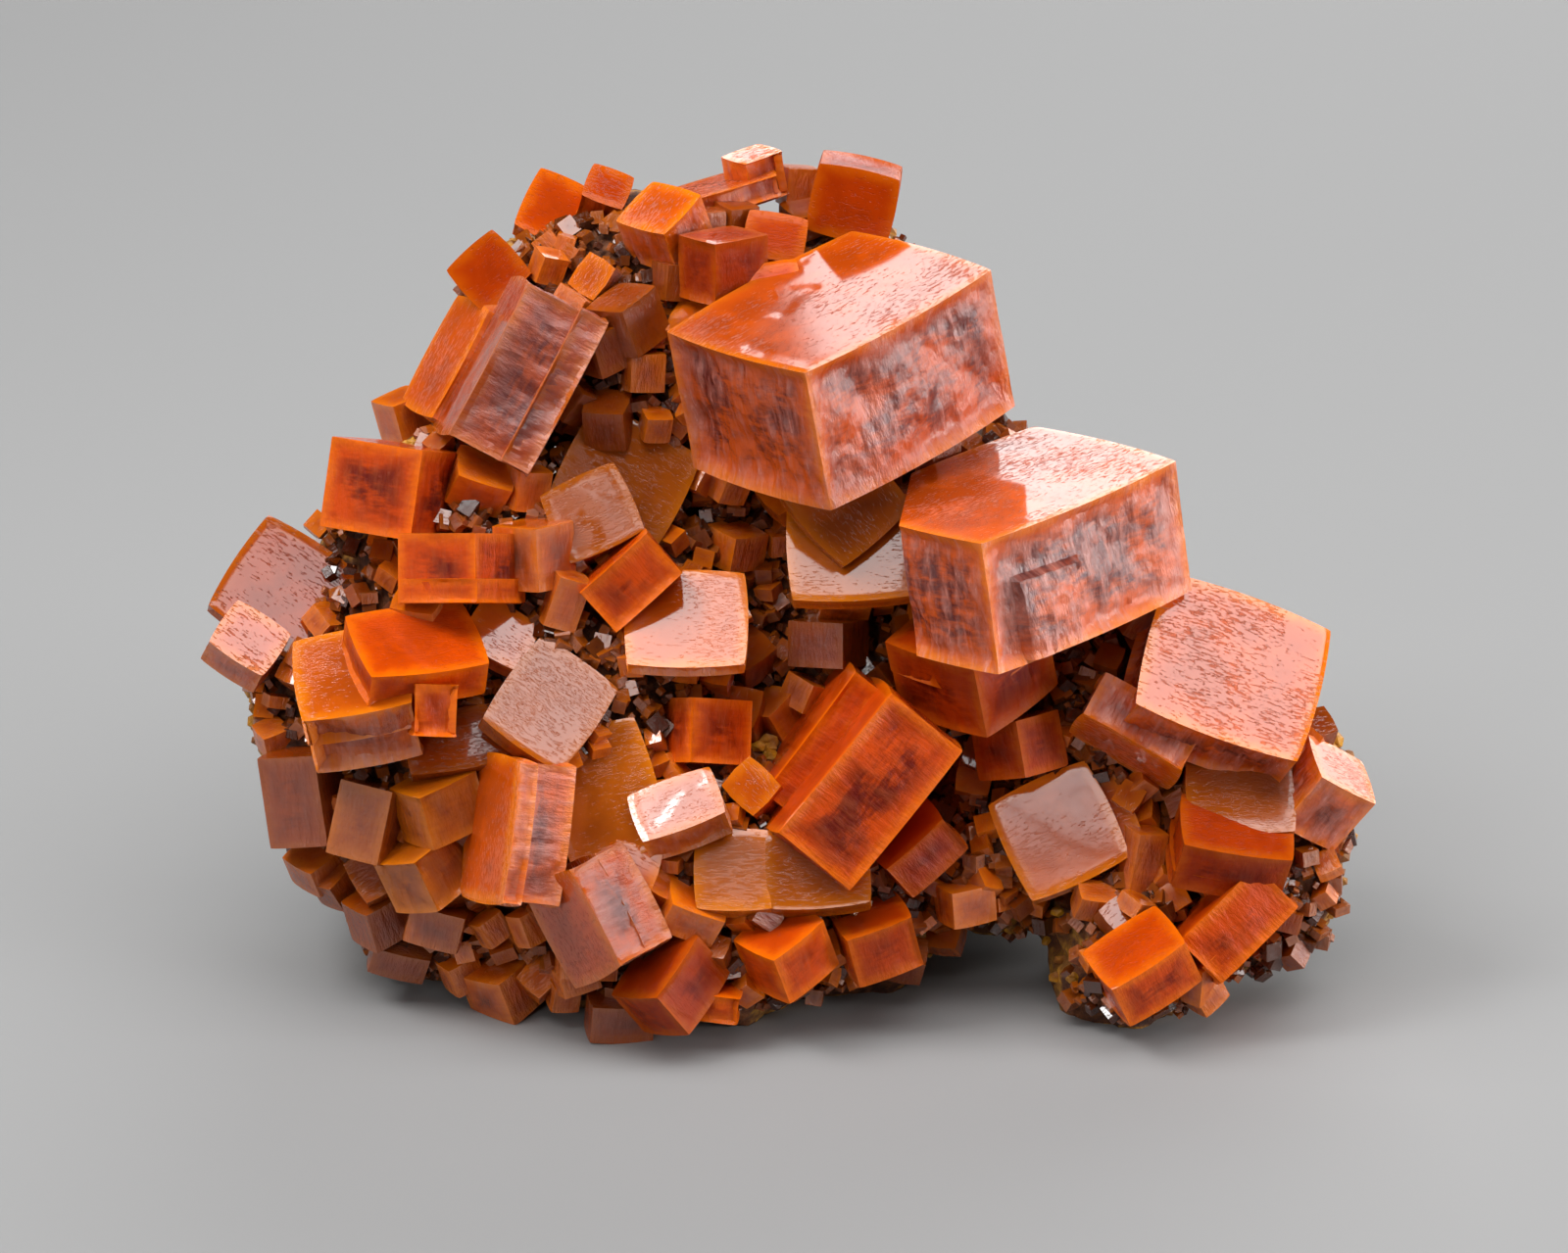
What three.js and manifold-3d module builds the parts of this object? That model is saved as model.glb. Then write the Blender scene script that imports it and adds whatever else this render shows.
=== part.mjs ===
// Wulfenite on matrix: thick square orange crystals crowded over the show side of a rounded rock.
// Millimetres, +Z up, +X to the right of the show face, -Y towards somebody who looks at it.
import * as THREE from 'three';
import { mergeVertices } from 'three/addons/utils/BufferGeometryUtils.js';
import Module from 'manifold-3d';

const wasm = await Module();
wasm.setup();

// Driving dimensions
const SHOW_FACE_LEAN = 25; // degrees that the show face leans back from upright
const GAP = 0.3; // clearance between a crystal and what it grows against
const EDGE_BOW = 0.035; // how far an edge bows out, as a share of its length
const BEVEL_SHARE = 0.045; // worn edge of a large crystal, as a share of its thickness
const LARGE_EDGE = 6; // crystals with a longer edge have bowed sides and worn edges
const BASE_DEPTH = 20; // how much of the rock's underside is trimmed away below the resting plane
const TRIM_WIDTH = 200; // the block that trims it reaches past the rock on every side
const ROUGH_SHARE = 0.07; // relief of the broken rock, as a share of a lump's radius
const LUMP_DETAIL = 2; // subdivision of a rock lump
const LUMP_PHASE = 1.7; // how far the relief shifts from one lump to the next
const RIM_OUT = -16; // depth of the crust at the rim, where no rock stands behind a crystal
const FAR_OUT = 80; // a place in front of everything, from which the crust is sought
const WELD = 1e-4; // vertices closer than this are one

const COLOURS = {
  rock: 0x9a6a2c,
  orange: 0xc4560e,
  caramel: 0xa9570f,
  rose: 0xc9795a,
};

// The show face is a leaning plane. Places on it are across (right), up, and out (towards the viewer).
const show_face = new THREE.Matrix4().makeRotationX(THREE.MathUtils.degToRad(90 - SHOW_FACE_LEAN));

// Lumps of the rock on the show face: middle [across, up, out], radii [across, up, out]
const ROCK_LUMPS = [
  [[-23, 29, -14], [23, 26, 15]], // left shoulder
  [[-8, 14, -12], [24, 14, 14]], // lower middle
  [[-12, 57, -18], [19, 17, 12]], // top
  [[3, 54, -20], [15, 18, 12]], // behind the two great blocks
  [[18, 48, -18], [6, 7, 8]], // knob between the great blocks
  [[8, 34, -20], [24, 20, 13]], // floor of the hollow
  [[27, 27, -14], [16, 15, 11]], // right shoulder
  [[40, 18, -10], [10, 13, 9]], // right end
  [[30, 8, -9], [8, 10, 9]], // right foot
  [[17, 16, -12], [9, 8, 9]], // bridge over the arch
  [[-2, 22, -30], [32, 20, 13]], // broken back
];

// Crystals on the show face. Middle: across, up, and how far it stands out of the rock there.
// Size: two edges, thickness and, on one, how much a neighbour has kept off two edges.
// Turn in degrees: clock angle of the thickness axis, its tip towards the viewer, spin about it.
const CRYSTALS = [
  ['great_block_crystal', [4.9, 57.8, 8], [22, 17.5, 13], [-11, 26, 38], 'rose'],
  ['second_block_crystal', [19.7, 42.5, 12], [22.4, 18, 11.8, [0.64, 0.57]], [-8, 20, 38], 'rose'],
  ['slanting_plate_crystal', [37.4, 31.3, 5], [14.8, 13, 6], [33, 62, 15], 'rose'],
  ['lower_block_crystals', [16, 32.8, 7.5], [9.5, 10, 7], [-12, 30, 42], 'orange'],
  ['lower_block_crystals', [20, 25.8, 3], [5.5, 5.5, 5], [-10, 5, 45], 'caramel'],
  ['stepped_twin_crystal', [6.5, 22.6, 6], [15.2, 12, 8], [-51, 10, 0], 'orange'],
  ['stepped_twin_crystal', [2.6, 26.6, 4], [13, 11, 3], [-53, 10, 0], 'orange'],
  ['upright_top_crystal', [6.1, 73, 3], [7.1, 6, 6], [12, 105, 0], 'orange'],
  ['barrel_crystals', [-22.6, 57.3, 4], [14.6, 10, 7.8], [-62, 12, 0], 'rose'],
  ['barrel_crystals', [-27.9, 58.5, 2], [10.5, 8, 3.4], [-62, 25, 0], 'orange'],
  ['crest_crystals', [-19.8, 71.7, 2], [5.8, 5.6, 4.5], [25, 80, 0], 'orange'],
  ['crest_crystals', [-15.5, 73.2, 2], [3.8, 3.8, 3], [20, 55, 0], 'rose'],
  ['shoulder_crystal', [-25, 66, 2], [5.4, 5.4, 4.5], [-42, 75, 0], 'orange'],
  ['brick_crystal', [-33.3, 47.6, 2], [8.8, 8.8, 7.8], [8, 3, 66], 'orange'],
  ['ridged_brick_crystal', [-27.4, 40.8, 3], [7.8, 7.8, 6], [0, 0, 60], 'orange'],
  ['crossed_plate_crystals', [-13.8, 48.3, 1], [10.2, 9.6, 2.5], [27, 75, 0], 'caramel'],
  ['crossed_plate_crystals', [-16.2, 45.3, 2], [7, 6.5, 3.4], [-25, 80, 0], 'caramel'],
  ['leaning_brick_crystal', [-13.2, 39.9, 2.5], [7.7, 5, 4.7], [-42, 10, 0], 'orange'],
  ['grey_plate_crystal', [-8.3, 36.2, 4], [10, 9, 1.6], [0, 60, 0], 'rose'],
  ['hanging_plate_crystals', [6.2, 42.3, 10], [11.4, 9, 2], [-3, 70, 0], 'caramel'],
  ['hanging_plate_crystals', [5.2, 46.4, 12], [8, 8, 1.8], [48, 80, 0], 'caramel'],
  ['left_block_crystal', [-36, 29.8, 4], [9.2, 9.6, 6.5], [-10, 45, 0], 'rose'],
  ['left_plate_crystals', [-31.2, 33.5, 5], [10.5, 8, 3.5], [10, 40, 25], 'orange'],
  ['left_plate_crystals', [-29.6, 29, 6], [3.8, 3.8, 4.5], [3, 5, 10], 'rose'],
  ['far_left_plate_crystals', [-42.9, 38.8, 2], [9.5, 9.5, 3], [33, 78, 0], 'rose'],
  ['far_left_plate_crystals', [-46, 34.2, 8], [5.5, 5, 3.6], [33, 60, 0], 'orange'],
  ['tall_edge_crystal', [-22.5, 18.7, 4.5], [12, 9, 5.5], [-83, 25, 0], 'rose'],
  ['brown_plate_crystal', [-15.2, 21.5, 1.5], [8.5, 11.5, 2.2], [-16, 75, 0], 'caramel'],
  ['saddle_plate_crystal', [-20, 29, 1.5], [8, 9.5, 2.2], [35, 65, 0], 'caramel'],
  ['white_faced_crystal', [-8.8, 20, 2.5], [7.5, 5, 3.4], [-20, 55, 0], 'rose'],
  ['centre_brick_crystal', [-6.8, 26.9, 2], [6, 6, 5.6], [2, -3, 31], 'orange'],
  ['lower_plate_crystals', [-4.2, 15, 1], [6.5, 7, 2], [0, 70, 0], 'caramel'],
  ['lower_plate_crystals', [2.9, 15, 1.5], [8.5, 6.5, 2.5], [-4, 72, 0], 'caramel'],
  ['lower_left_crystals', [-35.2, 19.3, 1.5], [5, 5, 6.5], [12, 5, -20], 'caramel'],
  ['lower_left_crystals', [-29.2, 20.7, 2], [6, 5, 5], [-15, 20, 30], 'orange'],
  ['lower_left_crystals', [-30.2, 15.4, 2], [6.5, 5.5, 5], [-25, 20, 40], 'rose'],
  ['leaning_block_crystal', [-15.7, 11.5, 3], [9.3, 7, 6.5], [-118, 40, 0], 'rose'],
  ['edge_block_crystals', [-9.6, 5.6, 2], [7, 6, 5], [-40, 30, 30], 'orange'],
  ['edge_block_crystals', [-6.2, 4.2, 2], [5, 4, 2.5], [8, 20, 0], 'rose'],
  ['wedge_crystal', [0.2, 8.3, 2], [6, 5.5, 5], [-20, 35, 30], 'orange'],
  ['square_rim_crystal', [7.9, 9.3, 2.5], [6, 5, 5], [-15, 30, 10], 'orange'],
  ['inner_rim_crystal', [11.2, 17.3, 2.5], [6.5, 6, 4], [-42, 30, 0], 'orange'],
  ['slab_below_plate', [30, 27, 3], [9.8, 6, 4.4], [-150, 20, 0], 'rose'],
  ['round_plate_crystals', [23.5, 18.3, 2.5], [9.2, 9.2, 2.4], [-25, 80, 0], 'rose'],
  ['round_plate_crystals', [27.3, 19.2, 1.5], [5, 7, 2], [-25, 75, 0], 'rose'],
  ['foot_barrel_crystals', [37.9, 17.1, 2.5], [9.5, 6.5, 5], [15, 40, 10], 'orange'],
  ['foot_barrel_crystals', [38.2, 11, 3], [9.3, 5.5, 5.3], [-45, 10, 0], 'orange'],
  ['foot_block_crystal', [30.4, 7.1, 2.5], [7.5, 5.5, 5.3], [-27, 45, 8], 'orange'],
  ['right_end_crystal', [45.8, 21.7, 1], [6, 6, 6], [40, 25, 30], 'rose'],
  ['hidden_plate_crystal', [38.7, 21, 1], [9, 7, 2], [10, 55, 10], 'caramel'],
  ['top_slab_crystals', [-5.2, 73.5, 3], [9, 7, 1.9], [-15, 15, 5], 'rose'],
  ['top_slab_crystals', [-2.5, 75, 2], [4, 4, 4], [-10, 20, 30], 'rose'],
  ['top_slab_crystals', [-10.2, 70.2, 3], [5.5, 5.5, 4.5], [-20, 40, 40], 'orange'],
  ['top_front_crystals', [-5.2, 66.8, 4], [6, 5, 5.5], [0, 15, 40], 'orange'],
  ['top_front_crystals', [-0.8, 69.3, 4], [5.2, 4, 1.6], [10, 75, 0], 'rose'],
  ['top_front_crystals', [-0.8, 64.8, 5], [4.5, 3.5, 3], [-10, 60, 0], 'rose'],
];

// Smaller crystals that are one with the crust of the rock: middle, size and turn as above
const CRUST_CRYSTALS = [
  [[-6.7, 70.5, 1], [2.8, 2.8, 2.8], [0, 15, 20]],
  [[-4.2, 71, 1], [3, 3, 3], [5, 20, 35]],
  [[-9.3, 65.6, 1], [3.4, 3.2, 3.2], [5, 10, 30]],
  [[1.7, 71.3, 1.4], [3.2, 3.2, 2.6], [0, 35, 35]],
  [[1.2, 74.2, 0], [3, 3, 3.4], [5, 10, 20]],
  [[-20.3, 66.9, 1], [2.5, 2.5, 2.6], [20, 20, 30]],
  [[-32.9, 54.2, 1], [3.8, 3.8, 3.8], [-15, 20, 30]],
  [[-21.2, 42, 1.5], [5, 5, 5.5], [-3, 10, 50]],
  [[-26, 48.3, 1], [5, 4, 3.5], [30, 40, 20]],
  [[-22, 47.8, 1], [3.2, 3.2, 3.6], [10, 15, 30]],
  [[-18.7, 38.2, 1], [3, 3, 4.6], [20, 15, 20]],
  [[13.2, 47.8, 5], [3, 3, 12], [0, 10, 30]],
  [[3.8, 34.5, 1.5], [4.6, 5.5, 4], [0, 5, 60]],
  [[-40.8, 21.5, 1.5], [5.6, 5.6, 8], [-8, 10, 65]],
  [[-27.5, 26, 1], [9, 5, 2.4], [-10, 70, 0]],
  [[-24.2, 35, 1], [5.5, 5, 1.8], [30, 60, 0]],
  [[-0.6, 28.2, 1.2], [3.6, 3.6, 3.6], [-30, 30, 30]],
  [[-7.9, 11.7, 1], [5, 4, 3], [30, 30, 20]],
  [[27.8, 17.4, 1.5], [3.2, 3.2, 3.6], [0, 10, 20]],
  [[26.5, 12.5, 1], [3.5, 2.5, 2.5], [20, 40, 20]],
  [[30.4, 15.8, 1], [3, 3, 6], [10, 15, 30]],
  [[35.7, 4.8, 1], [3, 3, 2.5], [-30, 40, 20]],
  [[-39.8, 15.7, 1], [4.5, 4, 3], [-20, 40, 30]],
  [[-38.4, 13.8, 1], [3, 3, 3], [-30, 40, 30]],
  [[-34.6, 11.2, 1.2], [4.5, 4, 4], [-15, 30, 30]],
  [[-32.9, 7.9, 1], [5, 3.5, 3], [20, 40, 10]],
  [[-29.6, 10.8, 1], [4.8, 4.5, 3.5], [15, 20, 0]],
  [[-25, 10.2, 1], [2.5, 2.5, 2.5], [-30, 20, 20]],
  [[-21.7, 10.4, 1], [2.5, 2.5, 3], [-20, 15, 30]],
  [[-27.7, 6.4, 1], [3, 3, 3], [-20, 30, 20]],
  [[-23.8, 5.4, 1.5], [5.5, 5, 4.5], [-20, 30, 40]],
  [[-26.4, 3.3, 1], [3.5, 3.5, 2.5], [0, 50, 20]],
  [[-16.8, 7.1, 1], [5, 4, 1.8], [5, 10, 10]],
  [[-18.8, 4.6, 1], [2.5, 2.5, 2.5], [10, 30, 20]],
  [[-18.5, 2.3, 1], [3, 3, 2.5], [20, 40, 20]],
  [[-14, 2.9, 1.2], [5.5, 4.5, 3.5], [5, 25, 10]],
  [[-13.3, 62.1, 2], [4.6, 4.6, 4.6], [-20, 25, 40]],
  [[-15.6, 59.8, 2], [3.5, 3.5, 4], [-15, 25, 30]],
  [[-12.1, 57.8, 1.2], [3.2, 3.2, 3.4], [3, 10, 20]],
  [[-11, 53.2, 1], [2.4, 2.4, 2.4], [10, 30, 20]],
];

// Closed solid of a geometry, with the vertices that its faces share merged
function solid_of(geometry) {
  geometry.deleteAttribute('normal');
  geometry.deleteAttribute('uv');
  const merged = mergeVertices(geometry, WELD);
  return new wasm.Manifold(new wasm.Mesh({
    numProp: 3,
    vertProperties: new Float32Array(merged.attributes.position.array),
    triVerts: new Uint32Array(merged.index.array),
  }));
}

// Faceted geometry of a solid
function geometry_of(solid) {
  const mesh = solid.getMesh();
  const geometry = new THREE.BufferGeometry();
  geometry.setAttribute('position', new THREE.BufferAttribute(new Float32Array(mesh.vertProperties), 3));
  geometry.setIndex(new THREE.BufferAttribute(new Uint32Array(mesh.triVerts), 1));
  return geometry;
}

// The largest piece of a solid that a cut has parted
function largest_piece(solid) {
  const pieces = solid.decompose();
  return pieces.reduce((best, piece) => (piece.volume() > best.volume() ? piece : best));
}

// Square tablet, thickness along its own z axis; large ones have bowed sides and a worn edge
function tablet([edge_a, edge_b, thick, nip]) {
  const large = Math.max(edge_a, edge_b) > LARGE_EDGE;
  const bevel = large ? BEVEL_SHARE * thick : 0;
  const half_a = edge_a / 2 - bevel;
  const half_b = edge_b / 2 - bevel;
  const bow_a = large ? 2 * EDGE_BOW * edge_a : 0;
  const bow_b = large ? 2 * EDGE_BOW * edge_b : 0;
  const kept_a = nip ? half_a - 2 * half_a * nip[0] : -half_a;
  const kept_b = nip ? 2 * half_b * nip[1] - half_b : half_b;
  const outline = new THREE.Shape();
  outline.moveTo(-half_a, -half_b);
  outline.quadraticCurveTo(0, -half_b - bow_a, half_a, -half_b);
  outline.quadraticCurveTo(half_a + bow_b, 0, half_a, half_b);
  outline.quadraticCurveTo((half_a + kept_a) / 2, half_b + bow_a, kept_a, half_b);
  if (nip) outline.lineTo(-half_a, kept_b);
  outline.quadraticCurveTo(-half_a - bow_b, (kept_b - half_b) / 2, -half_a, -half_b);
  const depth = thick - 2 * bevel;
  const geometry = new THREE.ExtrudeGeometry(outline, {
    depth,
    curveSegments: large ? 2 : 1,
    bevelEnabled: large,
    bevelSize: bevel,
    bevelThickness: bevel,
    bevelSegments: 1,
  });
  geometry.translate(0, 0, -depth / 2);
  return geometry;
}

// The room that a crystal takes up: a plain box round it, with the gap that its neighbours keep
function room_box([edge_a, edge_b, thick, nip]) {
  if (nip) return tablet([edge_a + 2 * GAP, edge_b + 2 * GAP, thick + 2 * GAP, nip]);
  const large = Math.max(edge_a, edge_b) > LARGE_EDGE;
  const bow = large ? EDGE_BOW : 0;
  const wide = edge_a + 2 * bow * edge_b + 2 * GAP;
  const deep = edge_b + 2 * bow * edge_a + 2 * GAP;
  return new THREE.BoxGeometry(wide, deep, thick + 2 * GAP);
}

// Where the crust lies behind a place on the show face, found by looking straight in
function crust_out(across, up) {
  const from = new THREE.Vector3(across, up, FAR_OUT).applyMatrix4(show_face);
  const inwards = new THREE.Vector3(0, 0, -1).transformDirection(show_face);
  const [hit] = new THREE.Raycaster(from, inwards).intersectObject(bare_rock);
  return hit ? FAR_OUT - hit.distance : RIM_OUT;
}

// A crystal where it grows, in the specimen's own frame
function crystal_solid([[across, up, out], size, [clock, tip, spin]], shape = tablet) {
  const turn = new THREE.Matrix4().makeRotationZ(THREE.MathUtils.degToRad(-clock));
  turn.multiply(new THREE.Matrix4().makeRotationX(THREE.MathUtils.degToRad(tip - 90)));
  turn.multiply(new THREE.Matrix4().makeRotationZ(THREE.MathUtils.degToRad(spin)));
  turn.setPosition(across, up, crust_out(across, up) + out);
  const geometry = shape(size);
  geometry.applyMatrix4(turn);
  geometry.applyMatrix4(show_face);
  return solid_of(geometry);
}

// Several crystals, or the rooms they take up, joined in one solid
function grown_together(rows, shape) {
  const each = rows.map(([, ...row]) => crystal_solid(row, shape));
  return each.reduce((sum, one) => sum.add(one));
}

// Broken relief: a few crossed waves whose phase differs from lump to lump
function relief(direction, phase) {
  const coarse = Math.sin(5 * direction.x + phase) * Math.cos(4 * direction.y - 2 * phase);
  const fine = Math.sin(13 * direction.y + 3 * phase) * Math.sin(11 * direction.z + phase);
  return 0.6 * coarse + 0.4 * fine;
}

// One rounded lump of rock with a rough skin
function rock_lump([middle, radii], index) {
  const geometry = new THREE.IcosahedronGeometry(1, LUMP_DETAIL);
  const position = geometry.attributes.position;
  const point = new THREE.Vector3();
  for (let i = 0; i < position.count; i += 1) {
    point.fromBufferAttribute(position, i);
    point.multiplyScalar(1 + ROUGH_SHARE * relief(point, LUMP_PHASE * index));
    position.setXYZ(i, point.x, point.y, point.z);
  }
  geometry.scale(...radii);
  geometry.translate(...middle);
  geometry.applyMatrix4(show_face);
  return solid_of(geometry);
}

let rock = rock_lump(ROCK_LUMPS[0], 0);
ROCK_LUMPS.slice(1).forEach((lump, index) => {
  rock = rock.add(rock_lump(lump, index + 1));
});

const bare_rock = new THREE.Mesh(geometry_of(rock), new THREE.MeshBasicMaterial());

let crust = rock;
CRUST_CRYSTALS.forEach((row) => {
  crust = crust.add(crystal_solid(row));
});

// The rock rests on a plane, where its underside is trimmed flat
const below = new THREE.BoxGeometry(TRIM_WIDTH, TRIM_WIDTH, BASE_DEPTH);
below.translate(0, 0, -BASE_DEPTH / 2);
const underside = solid_of(below);

const specimen = new THREE.Group();

function add_piece(name, solid, colour) {
  const material = new THREE.MeshStandardMaterial({ color: COLOURS[colour], roughness: 0.3, metalness: 0 });
  const mesh = new THREE.Mesh(geometry_of(solid), material);
  mesh.name = name;
  specimen.add(mesh);
}

// Crystals of one name are grown together in one solid; each name stands clear of those before it
const names = [...new Set(CRYSTALS.map((row) => row[0]))];
let taken = null;
names.forEach((name) => {
  const rows = CRYSTALS.filter((row) => row[0] === name);
  let grown = grown_together(rows, tablet);
  const room = grown_together(rows, room_box);
  if (taken) grown = grown.subtract(taken);
  add_piece(name, largest_piece(grown.subtract(underside)), rows[0][4]);
  taken = taken ? taken.add(room) : room;
});

add_piece('matrix', largest_piece(crust.subtract(taken).subtract(underside)), 'rock');

// The origin is the middle of the footprint, on the plane that the specimen rests on
const box = new THREE.Box3().setFromObject(specimen);
specimen.position.set(-(box.min.x + box.max.x) / 2, -(box.min.y + box.max.y) / 2, -box.min.z);

export default specimen;
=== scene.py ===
# %% [markdown]
# # Wulfenite on matrix
# A hand-sized specimen: thick square orange crystals crowded over the show side of a rounded rock.
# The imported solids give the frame, and every visible piece is modelled over them here in metres.

# %% Load the frame
import math
import random

import bmesh
import bpy
from mathutils import Matrix, Vector, noise
from mathutils.bvhtree import BVHTree


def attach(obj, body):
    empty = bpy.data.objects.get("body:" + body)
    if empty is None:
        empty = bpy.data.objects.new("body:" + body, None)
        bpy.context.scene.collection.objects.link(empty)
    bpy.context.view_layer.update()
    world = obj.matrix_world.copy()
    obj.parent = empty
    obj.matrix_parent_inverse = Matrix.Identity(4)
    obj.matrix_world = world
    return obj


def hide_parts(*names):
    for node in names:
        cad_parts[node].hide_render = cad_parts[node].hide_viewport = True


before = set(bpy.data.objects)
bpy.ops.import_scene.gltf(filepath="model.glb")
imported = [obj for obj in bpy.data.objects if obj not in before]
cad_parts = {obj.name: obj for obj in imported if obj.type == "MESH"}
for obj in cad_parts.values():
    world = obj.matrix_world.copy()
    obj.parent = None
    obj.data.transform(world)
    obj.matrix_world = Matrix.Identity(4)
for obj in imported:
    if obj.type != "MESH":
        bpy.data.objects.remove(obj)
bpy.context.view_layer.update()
print("nodes", len(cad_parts))

# %% [markdown]
# The specimen is measured in millimetres on its show face, a plane that leans back 25 degrees:
# across to the right, up the face, and out of it. One matrix carries those places into the frame.

# %% The show face
MM = 0.001
SHOW_FACE_LEAN = math.radians(25)
FOOT_SHIFT = Vector((-0.21, -24.91, 0)) * MM
show_face = Matrix.Translation(FOOT_SHIFT) @ Matrix.Rotation(math.radians(90) - SHOW_FACE_LEAN, 4, "X")
INWARDS = (show_face.to_3x3() @ Vector((0, 0, -1))).normalized()

# %% [markdown]
# ## Shader maths
# A pattern is a formula on places, so it reads best as an expression. The class wraps one socket and
# turns each operator into a Math node. Colours go through Mix nodes, which keep them in colour.

# %% A socket that can be calculated with
class Wire:
    def __init__(self, tree, socket):
        self.tree, self.socket = tree, socket

    def maths(self, operation, *values):
        return node(self.tree, "ShaderNodeMath", {"operation": operation}, *values)

    def __add__(self, other):
        return self.maths("ADD", self, other)

    def __radd__(self, other):
        return self.maths("ADD", other, self)

    def __sub__(self, other):
        return self.maths("SUBTRACT", self, other)

    def __rsub__(self, other):
        return self.maths("SUBTRACT", other, self)

    def __mul__(self, other):
        return self.maths("MULTIPLY", self, other)

    def __rmul__(self, other):
        return self.maths("MULTIPLY", other, self)

    def least(self, other):
        return self.maths("MINIMUM", self, other)

    def most(self, other):
        return self.maths("MAXIMUM", self, other)

    def between(self, low, high):
        """0 at low and 1 at high, with a soft start and end."""
        settings = {"interpolation_type": "SMOOTHSTEP"}
        return node(self.tree, "ShaderNodeMapRange", settings, self, low, high, 0.0, 1.0)


def node(tree, kind, settings, *values, out=0):
    """One shader node: its settings first, then the values or wires of its sockets in order."""
    made = tree.nodes.new(kind)
    for name, value in settings.items():
        setattr(made, name, value)
    for socket, value in zip(made.inputs, values):
        if isinstance(value, Wire):
            tree.links.new(value.socket, socket)
        elif value is not None:
            socket.default_value = value
    return Wire(tree, made.outputs[out])


def blend_colours(tree, mask, under, over):
    made = tree.nodes.new("ShaderNodeMix")
    made.data_type = "RGBA"
    for index, value in ((0, mask), (6, under), (7, over)):
        if isinstance(value, Wire):
            tree.links.new(value.socket, made.inputs[index])
        else:
            made.inputs[index].default_value = value
    return Wire(tree, made.outputs[2])


def attribute(tree, name, out):
    return node(tree, "ShaderNodeAttribute", {"attribute_name": name}, out=out)


def stretched(tree, places, factors):
    return node(tree, "ShaderNodeVectorMath", {"operation": "MULTIPLY"}, places, factors)


def speckle(tree, places, scale, detail=4.0, rough=0.6):
    """Cloudy noise from 0 to 1; scale counts features to a millimetre."""
    return node(tree, "ShaderNodeTexNoise", {}, places, None, scale, detail, rough)


def apart(tree, vector):
    """The three numbers of a vector."""
    made = tree.nodes.new("ShaderNodeSeparateXYZ")
    tree.links.new(vector.socket, made.inputs[0])
    return [Wire(tree, output) for output in made.outputs]


# %% [markdown]
# ## The crystals' finish
# Wulfenite is heavy, glossy and translucent: light gets in and comes out again at the edges, which
# glow yellow-orange over a darker middle. The square faces are mirror-like, with fine etch marks in
# rows. The side faces are frosted and hackly, with a rose sheen. Scattered light is slow to render, so
# the glow is painted light in the colour here, the darker middle is painted shade over the crystal's
# own cloudy tone, and the frost's own paler tone carries a painted rose sheen as well: each crystal
# carries its own measure in two attributes, place and half, in millimetres along its own axes, and the
# shader reads from them how far a point is from an edge.

# %% Finish of one kind of crystal
# A pattern's features to a millimetre, its detail and its roughness
CLOUD = (0.24, 3.0, 0.55)
VEIL = (0.9, 5.0, 0.65)
STREAK = (0.8, 6.0, 0.6)
FLECK = (2.8, 3.0, 0.6)
WEAR = (0.11, 2.0, 0.5)
FINE = (3.0, 5.0, 0.7)
# How a pattern is drawn out along a crystal's own axes
LAYERED = (0.6, 0.6, 2.2)
UPRIGHT = (1.6, 1.6, 0.45)
IN_ROWS = (0.55, 2.2, 1.0)
FINE_UPRIGHT = (1.8, 1.8, 0.8)
# Millimetres from an edge over which the murk and painted shade of the middle set in and the painted glow
# fades
MURK_AND_SHADE_DEPTH = (0.1, 3.2)
PAINTED_GLOW_DEPTH = (-0.3, 1.3)
PAINTED_GLOW_SHARE = 0.62
SQUARE_CLEARS_MURK_AND_SHADE = 0.65
REFRACTION = 1.95
BUMP = (0.7, 0.0005)


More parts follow.
